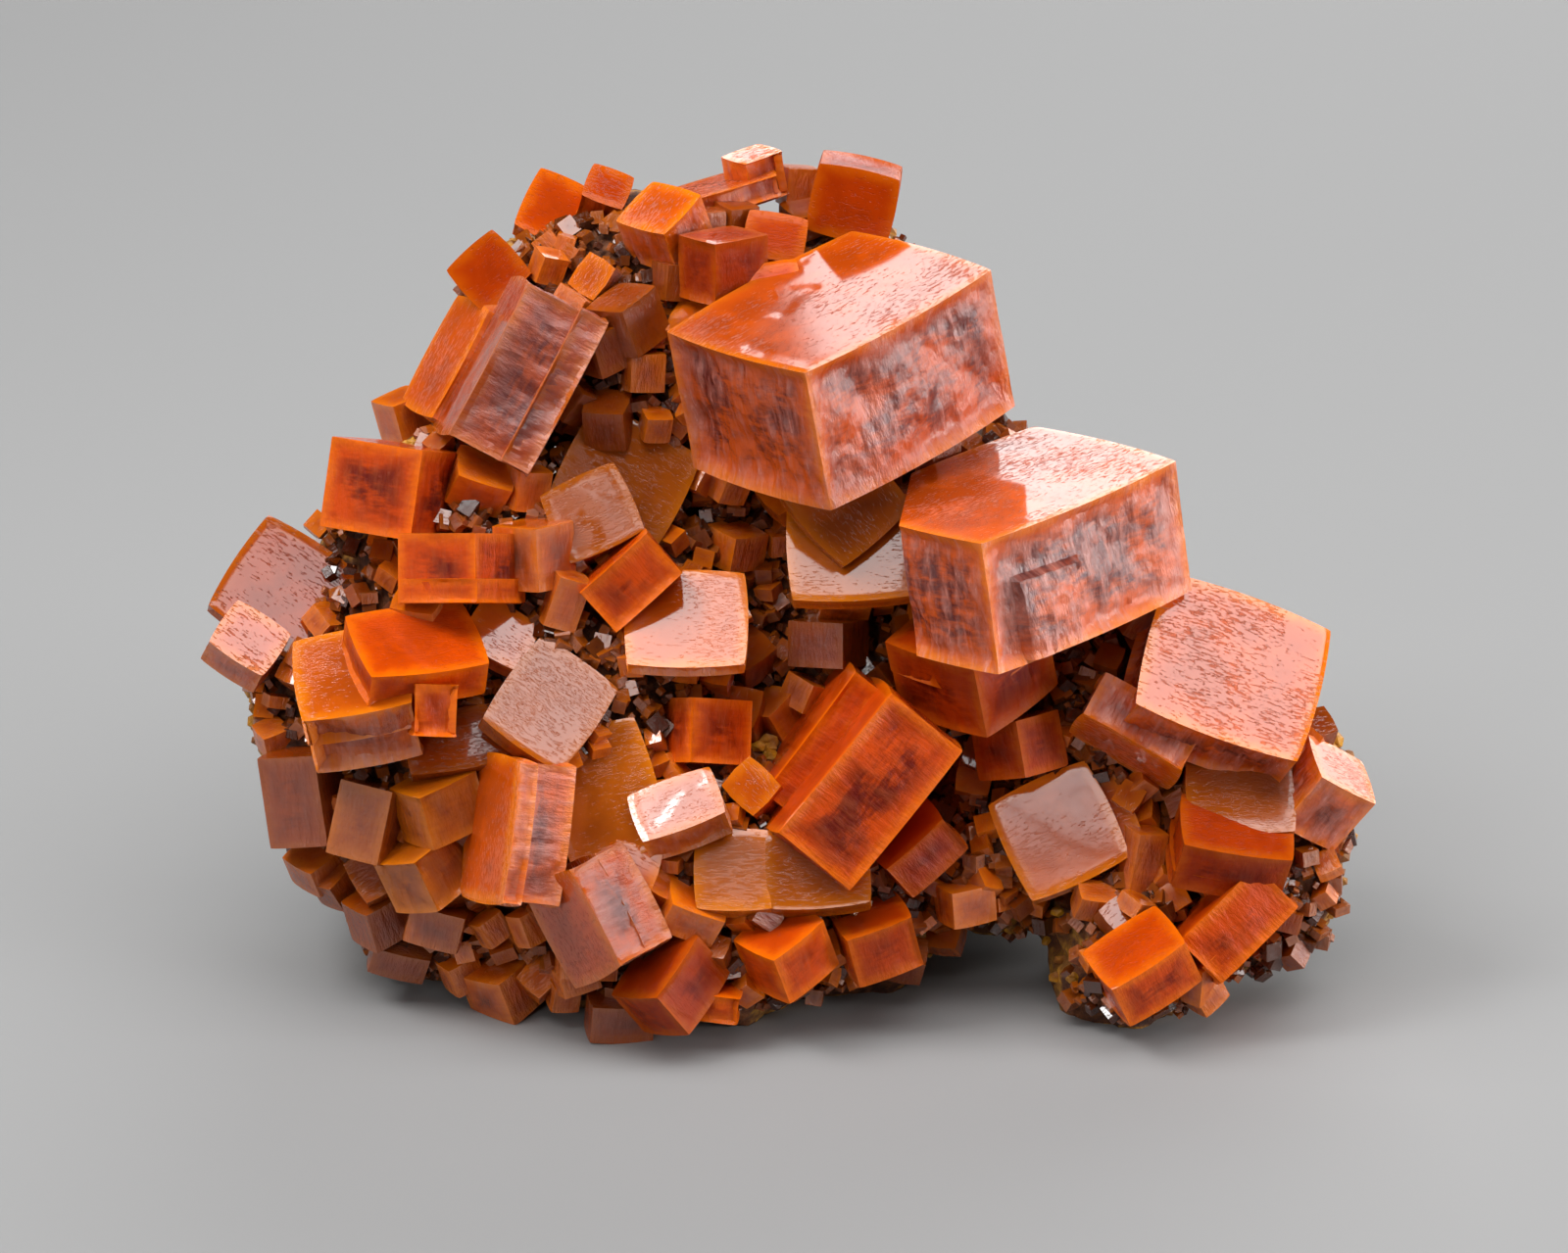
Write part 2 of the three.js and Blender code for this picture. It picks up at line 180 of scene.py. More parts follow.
def crystal_finish(name, body, deep, painted_glow, frost_and_sheen, frost_and_sheen_share, gloss, pitting=1.0, variety=0.5):
    """Body and deep are colours, deep also for the painted shade of the middle; painted_glow is the painted
    glow of the edges, and frost_and_sheen the frost's paler tone with a painted rose sheen. The shares say
    how much frost and sheen, gloss, pits and dark ones.
    """
    material = bpy.data.materials.new(name)
    material.use_nodes = True
    tree = material.node_tree
    shader = tree.nodes["Principled BSDF"]
    place = attribute(tree, "place", 1)
    half = attribute(tree, "half", 1)
    square = attribute(tree, "square", 2)
    shade = attribute(tree, "shade", 2)
    offset = attribute(tree, "offset", 1)
    somewhere = node(tree, "ShaderNodeVectorMath", {"operation": "ADD"}, place, offset)
    size = node(tree, "ShaderNodeVectorMath", {"operation": "ABSOLUTE"}, place)
    inset = node(tree, "ShaderNodeVectorMath", {"operation": "SUBTRACT"}, half, size)
    a, b, c = apart(tree, inset)
    to_edge = a.least(b).most(a.most(b).least(c))

    cloud = speckle(tree, somewhere, *CLOUD)
    veil = speckle(tree, stretched(tree, somewhere, LAYERED), *VEIL)
    streaks = speckle(tree, stretched(tree, somewhere, UPRIGHT), *STREAK)
    # Murk and painted shade: cloudy dark patches of the crystal's own tone, kept away from the edges as
    # painted shade of the middle.
    depth = (to_edge + 1.4 * (cloud - 0.5)).between(*MURK_AND_SHADE_DEPTH)
    # Painted glow: near every edge the colour turns yellow-orange, as if light came back out of the crystal
    # there.
    rim = 1.0 - (to_edge + 1.6 * (veil - 0.5)).between(*PAINTED_GLOW_DEPTH)
    murk_and_painted_shade = depth * (0.55 * veil + cloud).between(0.60, 0.88) * (1.0 - SQUARE_CLEARS_MURK_AND_SHADE * square)
    colour = blend_colours(tree, murk_and_painted_shade, body, deep)
    colour = blend_colours(tree, rim * PAINTED_GLOW_SHARE, colour, painted_glow)
    # Frost and painted sheen: pale rose streaks on the side faces, the frost's own paler tone with a painted
    # rose sheen; the same mask makes them rougher.
    frost_and_sheen_mask = (1.0 - square) * (streaks + 0.5 * cloud).between(0.66, 1.0) * frost_and_sheen_share
    colour = blend_colours(tree, frost_and_sheen_mask, colour, frost_and_sheen)
    colour = blend_colours(tree, shade.between(0.4, 1.0) * variety, colour, deep)

    flecks = speckle(tree, stretched(tree, somewhere, IN_ROWS), *FLECK)
    worn = speckle(tree, somewhere, *WEAR)
    pits = (flecks + 0.6 * (worn - 0.5)).between(0.56, 0.62) * square * pitting
    rough = 0.08 + 0.11 * (1.0 - square) + 0.16 * frost_and_sheen_mask + 0.6 * pits
    fine = speckle(tree, stretched(tree, somewhere, FINE_UPRIGHT), *FINE)
    relief = (1.0 - square) * (0.9 * streaks + 0.22 * fine) - 0.35 * pits + 0.008 * square * veil
    bump = node(tree, "ShaderNodeBump", {}, *BUMP)
    tree.links.new(relief.socket, bump.socket.node.inputs["Height"])
    tree.links.new(colour.socket, shader.inputs["Base Color"])
    tree.links.new(rough.socket, shader.inputs["Roughness"])
    tree.links.new(bump.socket, shader.inputs["Normal"])
    shader.inputs["IOR"].default_value = REFRACTION
    shader.inputs["Specular IOR Level"].default_value = gloss
    return material


finishes = {
    "rose": crystal_finish("rose", (0.66, 0.090, 0.002, 1), (0.11, 0.006, 0.002, 1),
                           (1.0, 0.27, 0.003, 1), (0.66, 0.23, 0.17, 1), 0.6, 0.42),
    "orange": crystal_finish("orange", (0.58, 0.058, 0.001, 1), (0.12, 0.005, 0.001, 1),
                             (0.92, 0.20, 0.002, 1), (0.50, 0.11, 0.03, 1), 0.25, 0.08, 0.3),
    "caramel": crystal_finish("caramel", (0.45, 0.095, 0.002, 1), (0.19, 0.026, 0.001, 1),
                              (0.76, 0.21, 0.003, 1), (0.38, 0.14, 0.05, 1), 0.15, 0.35, 0.15),
    "plate": crystal_finish("plate", (0.58, 0.095, 0.002, 1), (0.19, 0.016, 0.001, 1),
                            (0.96, 0.27, 0.003, 1), (0.60, 0.22, 0.16, 1), 0.4, 0.45, 0.1),
    "crust": crystal_finish("crust", (0.54, 0.085, 0.002, 1), (0.15, 0.019, 0.001, 1),
                            (0.86, 0.22, 0.003, 1), (0.46, 0.16, 0.08, 1), 0.3, 0.42, 0.3, 0.7),
    # The druse is dark brown of its own, and darkened further as painted shade between the crystals.
    "druse_and_painted_shade": crystal_finish("druse_and_painted_shade", (0.20, 0.034, 0.003, 1), (0.035, 0.005, 0.001, 1),
                            (0.45, 0.11, 0.004, 1), (0.40, 0.17, 0.09, 1), 0.2, 0.5, 0.1, 0.9),
}
print("crystal finishes", list(finishes))

# %% [markdown]
# ## The rock's finish
# Where it faces the viewer the matrix is a brown crust. Its underside and back are pale and dark
# stone, and an ochre crust with brassy yellow grains covers the rim between the two.

# %% Rock finish
PER_MM = (1000, 1000, 1000)


def rock_finish():
    material = bpy.data.materials.new("rock")
    material.use_nodes = True
    tree = material.node_tree
    shader = tree.nodes["Principled BSDF"]
    place = stretched(tree, node(tree, "ShaderNodeTexCoord", {}, out=3), PER_MM)
    coarse = speckle(tree, place, 0.12, 4.0, 0.6)
    grain = speckle(tree, place, 0.9, 6.0, 0.7)
    yellow = speckle(tree, place, 0.30, 5.0, 0.6)
    under = attribute(tree, "underside", 2)
    edge = attribute(tree, "rim", 2)
    colour = blend_colours(tree, grain.between(0.35, 0.7), (0.055, 0.014, 0.005, 1), (0.24, 0.075, 0.018, 1))
    stone = blend_colours(tree, coarse.between(0.38, 0.66), (0.10, 0.058, 0.032, 1), (0.30, 0.20, 0.125, 1))
    pale = (coarse + 0.6 * (yellow - 0.5)).between(0.55, 0.68) * grain.between(0.25, 0.55)
    stone = blend_colours(tree, pale, stone, (0.56, 0.46, 0.38, 1))
    colour = blend_colours(tree, (under + 0.5 * (grain - 0.5)).between(0.3, 0.7), colour, stone)
    ochre = blend_colours(tree, grain.between(0.4, 0.65), (0.26, 0.10, 0.012, 1), (0.66, 0.31, 0.025, 1))
    crusted = (0.8 * edge + 1.3 * (yellow - 0.5)).between(0.40, 0.75)
    colour = blend_colours(tree, crusted, colour, ochre)
    bump = node(tree, "ShaderNodeBump", {}, 0.9, 0.0006)
    tree.links.new((grain + 0.5 * coarse).socket, bump.socket.node.inputs["Height"])
    tree.links.new(colour.socket, shader.inputs["Base Color"])
    tree.links.new((0.75 - 0.35 * yellow.between(0.55, 0.7)).socket, shader.inputs["Roughness"])
    tree.links.new(bump.socket, shader.inputs["Normal"])
    return material


def ochre_finish():
    material = bpy.data.materials.new("ochre")
    material.use_nodes = True
    tree = material.node_tree
    shader = tree.nodes["Principled BSDF"]
    place = stretched(tree, node(tree, "ShaderNodeTexCoord", {}, out=3), PER_MM)
    cloud = speckle(tree, place, 0.22, 3.0, 0.6)
    grain = speckle(tree, place, 1.4, 4.0, 0.6)
    colour = blend_colours(tree, cloud.between(0.40, 0.60), (0.26, 0.085, 0.008, 1), (0.72, 0.33, 0.012, 1))
    colour = blend_colours(tree, grain.between(0.35, 0.6) * 0.5, colour, (0.20, 0.06, 0.008, 1))
    bump = node(tree, "ShaderNodeBump", {}, 0.6, 0.0003)
    tree.links.new(grain.socket, bump.socket.node.inputs["Height"])
    tree.links.new(colour.socket, shader.inputs["Base Color"])
    tree.links.new((0.30 + 0.4 * grain).socket, shader.inputs["Roughness"])
    tree.links.new(bump.socket, shader.inputs["Normal"])
    return material


finishes["rock"] = rock_finish()
finishes["ochre"] = ochre_finish()

# %% [markdown]
# ## Where everything grows
# The rock is a heap of rounded lumps, and the crystals stand on it. These rows repeat the solids' own:
# a lump has a middle and radii, and a crystal has a middle (across, up, and out of the rock), its two
# edges and thickness, and three turns: clock angle of the thickness axis, its tip towards the viewer,
# and the spin about it.

# %% Lumps and crystals on the show face
ROCK_LUMPS = [
  [[-23, 29, -14], [23, 26, 15]], # left shoulder
  [[-8, 14, -12], [24, 14, 14]], # lower middle
  [[-12, 57, -18], [19, 17, 12]], # top
  [[3, 54, -20], [15, 18, 12]], # behind the two great blocks
  [[18, 48, -18], [6, 7, 8]], # knob between the great blocks
  [[8, 34, -20], [24, 20, 13]], # floor of the hollow
  [[27, 27, -14], [16, 15, 11]], # right shoulder
  [[40, 18, -10], [10, 13, 9]], # right end
  [[30, 8, -9], [8, 10, 9]], # right foot
  [[17, 16, -12], [9, 8, 9]], # bridge over the arch
  [[-2, 22, -30], [32, 20, 13]], # broken back
]

CRYSTALS = [
  ["great_block_crystal", [4.9, 57.8, 8], [22, 17.5, 13], [-11, 26, 38], "rose"],
  ["second_block_crystal", [19.7, 42.5, 12], [22.4, 18, 11.8, [0.64, 0.57]], [-8, 20, 38], "rose"],
  ["slanting_plate_crystal", [37.4, 31.3, 5], [14.8, 13, 6], [33, 62, 15], "rose"],
  ["lower_block_crystals", [16, 32.8, 7.5], [9.5, 10, 7], [-12, 30, 42], "orange"],
  ["lower_block_crystals", [20, 25.8, 3], [5.5, 5.5, 5], [-10, 5, 45], "caramel"],
  ["stepped_twin_crystal", [6.5, 22.6, 6], [15.2, 12, 8], [-51, 10, 0], "orange"],
  ["stepped_twin_crystal", [2.6, 26.6, 4], [13, 11, 3], [-53, 10, 0], "orange"],
  ["upright_top_crystal", [6.1, 73, 3], [7.1, 6, 6], [12, 105, 0], "orange"],
  ["barrel_crystals", [-22.6, 57.3, 4], [14.6, 10, 7.8], [-62, 12, 0], "rose"],
  ["barrel_crystals", [-27.9, 58.5, 2], [10.5, 8, 3.4], [-62, 25, 0], "orange"],
  ["crest_crystals", [-19.8, 71.7, 2], [5.8, 5.6, 4.5], [25, 80, 0], "orange"],
  ["crest_crystals", [-15.5, 73.2, 2], [3.8, 3.8, 3], [20, 55, 0], "rose"],
  ["shoulder_crystal", [-25, 66, 2], [5.4, 5.4, 4.5], [-42, 75, 0], "orange"],
  ["brick_crystal", [-33.3, 47.6, 2], [8.8, 8.8, 7.8], [8, 3, 66], "orange"],
  ["ridged_brick_crystal", [-27.4, 40.8, 3], [7.8, 7.8, 6], [0, 0, 60], "orange"],
  ["crossed_plate_crystals", [-13.8, 48.3, 1], [10.2, 9.6, 2.5], [27, 75, 0], "caramel"],
  ["crossed_plate_crystals", [-16.2, 45.3, 2], [7, 6.5, 3.4], [-25, 80, 0], "caramel"],
  ["leaning_brick_crystal", [-13.2, 39.9, 2.5], [7.7, 5, 4.7], [-42, 10, 0], "orange"],
  ["grey_plate_crystal", [-8.3, 36.2, 4], [10, 9, 1.6], [0, 60, 0], "rose"],
  ["hanging_plate_crystals", [6.2, 42.3, 10], [11.4, 9, 2], [-3, 70, 0], "caramel"],
  ["hanging_plate_crystals", [5.2, 46.4, 12], [8, 8, 1.8], [48, 80, 0], "caramel"],
  ["left_block_crystal", [-36, 29.8, 4], [9.2, 9.6, 6.5], [-10, 45, 0], "rose"],
  ["left_plate_crystals", [-31.2, 33.5, 5], [10.5, 8, 3.5], [10, 40, 25], "orange"],
  ["left_plate_crystals", [-29.6, 29, 6], [3.8, 3.8, 4.5], [3, 5, 10], "rose"],
  ["far_left_plate_crystals", [-42.9, 38.8, 2], [9.5, 9.5, 3], [33, 78, 0], "rose"],
  ["far_left_plate_crystals", [-46, 34.2, 8], [5.5, 5, 3.6], [33, 60, 0], "orange"],
  ["tall_edge_crystal", [-22.5, 18.7, 4.5], [12, 9, 5.5], [-83, 25, 0], "rose"],
  ["brown_plate_crystal", [-15.2, 21.5, 1.5], [8.5, 11.5, 2.2], [-16, 75, 0], "caramel"],
  ["saddle_plate_crystal", [-20, 29, 1.5], [8, 9.5, 2.2], [35, 65, 0], "caramel"],
  ["white_faced_crystal", [-8.8, 20, 2.5], [7.5, 5, 3.4], [-20, 55, 0], "rose"],
  ["centre_brick_crystal", [-6.8, 26.9, 2], [6, 6, 5.6], [2, -3, 31], "orange"],
  ["lower_plate_crystals", [-4.2, 15, 1], [6.5, 7, 2], [0, 70, 0], "caramel"],
  ["lower_plate_crystals", [2.9, 15, 1.5], [8.5, 6.5, 2.5], [-4, 72, 0], "caramel"],
  ["lower_left_crystals", [-35.2, 19.3, 1.5], [5, 5, 6.5], [12, 5, -20], "caramel"],
  ["lower_left_crystals", [-29.2, 20.7, 2], [6, 5, 5], [-15, 20, 30], "orange"],
  ["lower_left_crystals", [-30.2, 15.4, 2], [6.5, 5.5, 5], [-25, 20, 40], "rose"],
  ["leaning_block_crystal", [-15.7, 11.5, 3], [9.3, 7, 6.5], [-118, 40, 0], "rose"],
  ["edge_block_crystals", [-9.6, 5.6, 2], [7, 6, 5], [-40, 30, 30], "orange"],
  ["edge_block_crystals", [-6.2, 4.2, 2], [5, 4, 2.5], [8, 20, 0], "rose"],
  ["wedge_crystal", [0.2, 8.3, 2], [6, 5.5, 5], [-20, 35, 30], "orange"],
  ["square_rim_crystal", [7.9, 9.3, 2.5], [6, 5, 5], [-15, 30, 10], "orange"],
  ["inner_rim_crystal", [11.2, 17.3, 2.5], [6.5, 6, 4], [-42, 30, 0], "orange"],
  ["slab_below_plate", [30, 27, 3], [9.8, 6, 4.4], [-150, 20, 0], "rose"],
  ["round_plate_crystals", [23.5, 18.3, 2.5], [9.2, 9.2, 2.4], [-25, 80, 0], "rose"],
  ["round_plate_crystals", [27.3, 19.2, 1.5], [5, 7, 2], [-25, 75, 0], "rose"],
  ["foot_barrel_crystals", [37.9, 17.1, 2.5], [9.5, 6.5, 5], [15, 40, 10], "orange"],
  ["foot_barrel_crystals", [38.2, 11, 3], [9.3, 5.5, 5.3], [-45, 10, 0], "orange"],
  ["foot_block_crystal", [30.4, 7.1, 2.5], [7.5, 5.5, 5.3], [-27, 45, 8], "orange"],
  ["right_end_crystal", [45.8, 21.7, 1], [6, 6, 6], [40, 25, 30], "rose"],
  ["hidden_plate_crystal", [38.7, 21, 1], [9, 7, 2], [10, 55, 10], "caramel"],
  ["top_slab_crystals", [-5.2, 73.5, 3], [9, 7, 1.9], [-15, 15, 5], "rose"],
  ["top_slab_crystals", [-2.5, 75, 2], [4, 4, 4], [-10, 20, 30], "rose"],
  ["top_slab_crystals", [-10.2, 70.2, 3], [5.5, 5.5, 4.5], [-20, 40, 40], "orange"],
  ["top_front_crystals", [-5.2, 66.8, 4], [6, 5, 5.5], [0, 15, 40], "orange"],
  ["top_front_crystals", [-0.8, 69.3, 4], [5.2, 4, 1.6], [10, 75, 0], "rose"],
  ["top_front_crystals", [-0.8, 64.8, 5], [4.5, 3.5, 3], [-10, 60, 0], "rose"],
]

CRUST_CRYSTALS = [
  [[-6.7, 70.5, 1], [2.8, 2.8, 2.8], [0, 15, 20]],
  [[-4.2, 71, 1], [3, 3, 3], [5, 20, 35]],
  [[-9.3, 65.6, 1], [3.4, 3.2, 3.2], [5, 10, 30]],
  [[1.7, 71.3, 1.4], [3.2, 3.2, 2.6], [0, 35, 35]],
  [[1.2, 74.2, 0], [3, 3, 3.4], [5, 10, 20]],
  [[-20.3, 66.9, 1], [2.5, 2.5, 2.6], [20, 20, 30]],
  [[-32.9, 54.2, 1], [3.8, 3.8, 3.8], [-15, 20, 30]],
  [[-21.2, 42, 1.5], [5, 5, 5.5], [-3, 10, 50]],
  [[-26, 48.3, 1], [5, 4, 3.5], [30, 40, 20]],
  [[-22, 47.8, 1], [3.2, 3.2, 3.6], [10, 15, 30]],
  [[-18.7, 38.2, 1], [3, 3, 4.6], [20, 15, 20]],
  [[13.2, 47.8, 5], [3, 3, 12], [0, 10, 30]],
  [[3.8, 34.5, 1.5], [4.6, 5.5, 4], [0, 5, 60]],
  [[-40.8, 21.5, 1.5], [5.6, 5.6, 8], [-8, 10, 65]],
  [[-27.5, 26, 1], [9, 5, 2.4], [-10, 70, 0]],
  [[-24.2, 35, 1], [5.5, 5, 1.8], [30, 60, 0]],
  [[-0.6, 28.2, 1.2], [3.6, 3.6, 3.6], [-30, 30, 30]],
  [[-7.9, 11.7, 1], [5, 4, 3], [30, 30, 20]],
  [[27.8, 17.4, 1.5], [3.2, 3.2, 3.6], [0, 10, 20]],
  [[26.5, 12.5, 1], [3.5, 2.5, 2.5], [20, 40, 20]],
  [[30.4, 15.8, 1], [3, 3, 6], [10, 15, 30]],
  [[35.7, 4.8, 1], [3, 3, 2.5], [-30, 40, 20]],
  [[-39.8, 15.7, 1], [4.5, 4, 3], [-20, 40, 30]],
  [[-38.4, 13.8, 1], [3, 3, 3], [-30, 40, 30]],
  [[-34.6, 11.2, 1.2], [4.5, 4, 4], [-15, 30, 30]],
  [[-32.9, 7.9, 1], [5, 3.5, 3], [20, 40, 10]],
  [[-29.6, 10.8, 1], [4.8, 4.5, 3.5], [15, 20, 0]],
  [[-25, 10.2, 1], [2.5, 2.5, 2.5], [-30, 20, 20]],
  [[-21.7, 10.4, 1], [2.5, 2.5, 3], [-20, 15, 30]],
  [[-27.7, 6.4, 1], [3, 3, 3], [-20, 30, 20]],
  [[-23.8, 5.4, 1.5], [5.5, 5, 4.5], [-20, 30, 40]],
  [[-26.4, 3.3, 1], [3.5, 3.5, 2.5], [0, 50, 20]],
  [[-16.8, 7.1, 1], [5, 4, 1.8], [5, 10, 10]],
  [[-18.8, 4.6, 1], [2.5, 2.5, 2.5], [10, 30, 20]],
  [[-18.5, 2.3, 1], [3, 3, 2.5], [20, 40, 20]],
  [[-14, 2.9, 1.2], [5.5, 4.5, 3.5], [5, 25, 10]],
  [[-13.3, 62.1, 2], [4.6, 4.6, 4.6], [-20, 25, 40]],
  [[-15.6, 59.8, 2], [3.5, 3.5, 4], [-15, 25, 30]],
  [[-12.1, 57.8, 1.2], [3.2, 3.2, 3.4], [3, 10, 20]],
  [[-11, 53.2, 1], [2.4, 2.4, 2.4], [10, 30, 20]],
]
print("large crystals", len(CRYSTALS), "crust crystals", len(CRUST_CRYSTALS))

# %% [markdown]
# ## The bare rock
# Each lump starts as an icosphere with a little relief. Joined and voxel remeshed they become one
# skin without inner walls, which is the quick way to weld rounded forms. The skin is then cut flat at
# the resting plane, so that the specimen stands as the real one does.

# %% Weld the lumps
ROUGH_SHARE = 0.07
LUMP_PHASE = 1.7
VOXEL = 0.75 * MM
RESTING_SKIN = 0.02 * MM


def relief(direction, phase):
    coarse = math.sin(5 * direction.x + phase) * math.cos(4 * direction.y - 2 * phase)
    fine = math.sin(13 * direction.y + 3 * phase) * math.sin(11 * direction.z + phase)
    return 0.6 * coarse + 0.4 * fine


def weld_lumps():
    rock = bmesh.new()
    for index, (middle, radii) in enumerate(ROCK_LUMPS):
        lump = bmesh.ops.create_icosphere(rock, subdivisions=4, radius=1)["verts"]
        for vert in lump:
            vert.co *= 1 + ROUGH_SHARE * relief(vert.co, LUMP_PHASE * index)
        bmesh.ops.scale(rock, vec=Vector(radii) * MM, verts=lump)
        bmesh.ops.translate(rock, vec=Vector(middle) * MM, verts=lump)
        bmesh.ops.transform(rock, matrix=show_face, verts=lump)
    mesh = bpy.data.meshes.new("lumps")
    rock.to_mesh(mesh)
    heap = bpy.data.objects.new("lumps", mesh)
    bpy.context.scene.collection.objects.link(heap)
    weld = heap.modifiers.new("weld", "REMESH")
    weld.mode, weld.voxel_size = "VOXEL", VOXEL
    welded = bpy.data.meshes.new_from_object(heap.evaluated_get(bpy.context.evaluated_depsgraph_get()))
    bpy.data.objects.remove(heap)
    return welded


welded = weld_lumps()
bare = bmesh.new()
bare.from_mesh(welded)
crust_tree = BVHTree.FromBMesh(bare)
print("welded skin", len(bare.faces), "faces")

# %% [markdown]
# Broken rock isn't smooth: it has blocks, chips, ledges and grains at every size. Cell noise with the
# Chebychev measure has flat-sided cells, so it reads as broken, not as melted, and a swirl keeps the
# cells from lining up. The cut at the resting plane also serves the small crystals that reach it.

# %% Break the rock's surface
RIM_OUT = -16
FAR_OUT = 80
# Cells and waves to a metre, and the millimetres that each moves the skin
BLOCKS, BLOCK_RELIEF = 85, 3.4
CHIPS, CHIP_RELIEF = 260, 1.3
SWELLS, SWELL_RELIEF = 110, 0.9
LEDGES, LEDGE_RELIEF = (200, 200, 700), 0.35
GRAINS, GRAIN_RELIEF = 1600, 0.2
SUNK = 0.5
SWIRLS, SWIRL_REACH = 300, 0.0015


def at_face(across, up, out):
    return show_face @ (Vector((across, up, out)) * MM)


def crust_out(across, up):
    """How far out the rock lies behind a place on the show face."""
    hit = crust_tree.ray_cast(at_face(across, up, FAR_OUT), INWARDS)
    return FAR_OUT - hit[3] / MM if hit[0] else RIM_OUT


def swirl(point):
    """Smooth noise in three directions, put together from plain noise, which is the same every run."""
    return Vector([noise.noise(point + Vector((shift, shift, 0))) for shift in (0, 31.7, 63.4)])


def broken(point):
    """How far the broken surface lies outside the welded skin."""
    warped = point + SWIRL_REACH * swirl(point * SWIRLS)
    block = noise.voronoi(warped * BLOCKS, distance_metric="CHEBYCHEV")[0][0]
    chip = noise.voronoi(warped * CHIPS, distance_metric="CHEBYCHEV")[0][0]
    swell = noise.noise(point * SWELLS)
    ledge = noise.noise(Vector([value * often for value, often in zip(point, LEDGES)]))
    grain = noise.noise(point * GRAINS)
    moved = BLOCK_RELIEF * (0.30 - block) + CHIP_RELIEF * (0.28 - chip) + SWELL_RELIEF * swell
    moved += LEDGE_RELIEF * ledge
    moved += GRAIN_RELIEF * grain
    return (moved - SUNK) * MM


def rest_flat(shape):
    """Cuts a shape off at the resting plane and closes it there."""
    every = shape.verts[:] + shape.edges[:] + shape.faces[:]
    cut = bmesh.ops.bisect_plane(shape, geom=every, plane_co=(0, 0, RESTING_SKIN), plane_no=(0, 0, -1),
                                 clear_outer=True)["geom_cut"]
    rim = [piece for piece in cut if isinstance(piece, bmesh.types.BMEdge)]
    bmesh.ops.holes_fill(shape, edges=rim, sides=0)


def shape_rock():
    rock = bare.copy()
    rock.normal_update()
    moves = [vert.normal * broken(vert.co) for vert in rock.verts]
    for vert, move in zip(rock.verts, moves):
        vert.co += move
    rest_flat(rock)
    bmesh.ops.triangulate(rock, faces=[face for face in rock.faces if len(face.verts) > 4])
    return rock


def finish_piece(shape, name, slot, *nodes, smooth=math.radians(35), finish=None):
    """Turns a bmesh into a piece that rides on the specimen and stands for its solids."""
    mesh = bpy.data.meshes.new(name)
    shape.to_mesh(mesh)
    mesh.polygons.foreach_set("use_smooth", [True] * len(mesh.polygons))
    mesh.set_sharp_from_angle(angle=smooth)
    mesh.materials.append(finishes[finish or slot])
    piece = bpy.data.objects.new(name, mesh)
    bpy.context.scene.collection.objects.link(piece)
    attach(piece, "root")
    if nodes:
        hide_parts(*nodes)
    print(name, len(mesh.polygons), "faces")


def clamped(value):
    return min(1, max(0, value))


# Where the skin turns from the show side to the back, as the share of it that faces the viewer
TURNING = 0.25
rock_shape = shape_rock()
rock_shape.normal_update()
under_layer = rock_shape.verts.layers.float.new("underside")
rim_layer = rock_shape.verts.layers.float.new("rim")
for vert in rock_shape.verts:
    facing = vert.normal.dot(-INWARDS)
    vert[under_layer] = clamped(1.5 * (TURNING - facing))
    vert[rim_layer] = clamped(1 - abs(facing - TURNING) / 0.55)
finish_piece(rock_shape, "rock", "rock", "matrix", smooth=math.radians(60))

# %% [markdown]
# ## One crystal
# A crystal is a box in its own axes, cut into a fine grid so that its faces can take real relief. A
# cube with subdivided edges does that. Then its sides bow out, its edges wear round, its side faces
# get scallops and ridges, and its square faces get a few low terraces.

# %% Shape a crystal in its own axes
EDGE_BOW = 0.035
WORN = 0.16
FINEST = 0.38
MOST_CELLS = 60
# On a box from -1 to 1, what lies past this is on the face of that axis
ON_FACE = 0.99
# Terraces of a square face in millimetres: on thick crystals, on thin plates, and where thin ends
THICK_TERRACE = 0.02
THIN_TERRACE = 0.003
THIN = 1.5


def gridded_box(shape, half, cell):
    """A box with every edge cut to about the cell size, all in millimetres."""
    bmesh.ops.create_cube(shape, size=2)
    for axis in range(3):
        cuts = max(1, min(MOST_CELLS, round(2 * half[axis] / cell))) - 1
        along = [edge for edge in shape.edges
                 if abs((edge.verts[0].co - edge.verts[1].co)[axis]) > 0.01]
        if cuts > 0:
            bmesh.ops.subdivide_edges(shape, edges=along, cuts=cuts, use_grid_fill=True)


def hackle(point, seed):
    """Relief of a side face from 0 to about 1: shallow scallops, crossed by ridges up the face."""
    slanted = Vector((point.x * 0.26 + seed, point.y * 0.26 - seed, point.z * 0.20 + 0.06 * point.x))
    near, next_near = noise.voronoi(slanted)[0][:2]
    broken = noise.noise(slanted * 0.7)
    facet = (0.9 * near + 0.5 * (next_near - near)) * max(0, 0.55 + 1.6 * broken)
    ridge = abs(noise.noise(Vector((point.x * 0.9, point.y * 0.9, point.z * 0.35 + seed))))
    fine = abs(noise.noise(Vector((point.x * 2.2, point.y * 2.2, point.z * 0.8 - seed))))
    return facet + 0.40 * ridge + 0.22 * fine


def raised_slab(along, height, slab):
    """Thickness of a slab that overlaps part of a side face, with one slanting edge."""
    _, _, start, end, top, foot, thick = slab
    if along < start or height > top:
        return 0
    slant = foot + (end - foot) * (height + 1) / (top + 1)
    return thick if along < slant else 0


